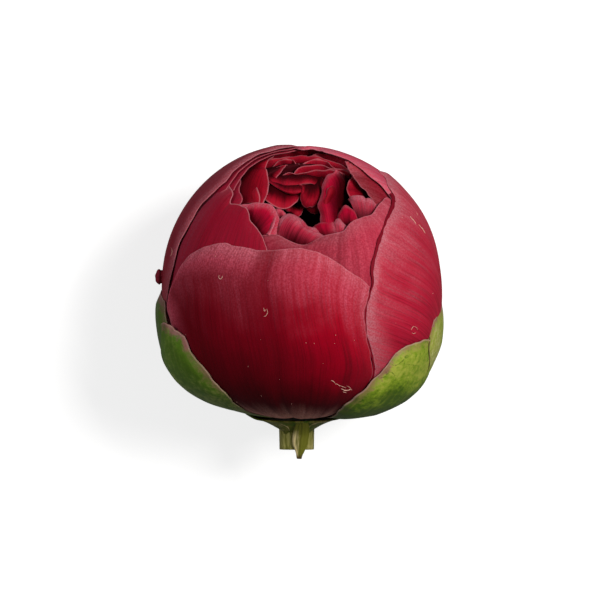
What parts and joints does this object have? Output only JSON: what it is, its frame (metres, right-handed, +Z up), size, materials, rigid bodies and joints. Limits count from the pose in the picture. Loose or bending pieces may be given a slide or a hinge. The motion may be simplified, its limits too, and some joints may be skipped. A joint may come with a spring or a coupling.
{
  "type": "peony bud",
  "caption": "Dark red peony bud about to open, cut with a short stem and lying on its side, its ruffled heart showing among round guard petals that green sepals hold.",
  "frame": {"origin": "middle of the small flat spot that the bud rests on, on the surface that it lies on", "axes": "+Z up from the surface, +Y from the cut stem towards the opening, +X to the right of a viewer who looks down with the opening away from them"},
  "size_m": [0.0531, 0.0571, 0.0516],
  "materials": {
    "guard_petal": "satin",
    "heart_petal": "satin",
    "sepal": "matte",
    "stem": "matte"
  },
  "bodies": {
    "root": {"petal_front": "guard_petal", "petal_right": "guard_petal", "petal_back": "guard_petal", "petal_left": "guard_petal", "petal_front_left": "guard_petal", "petal_back_rim": "guard_petal", "petal_front_right": "guard_petal", "petal_left_inner": "guard_petal", "petal_left_rim": "guard_petal", "petal_right_rim": "guard_petal", "sepal_left": "sepal", "sepal_right": "sepal", "sepal_left_outer": "sepal", "sepal_right_outer": "sepal", "sepal_back": "sepal", "heart": "heart_petal", "stem": "stem", "bract": "stem"}
  },
  "joints": []
}
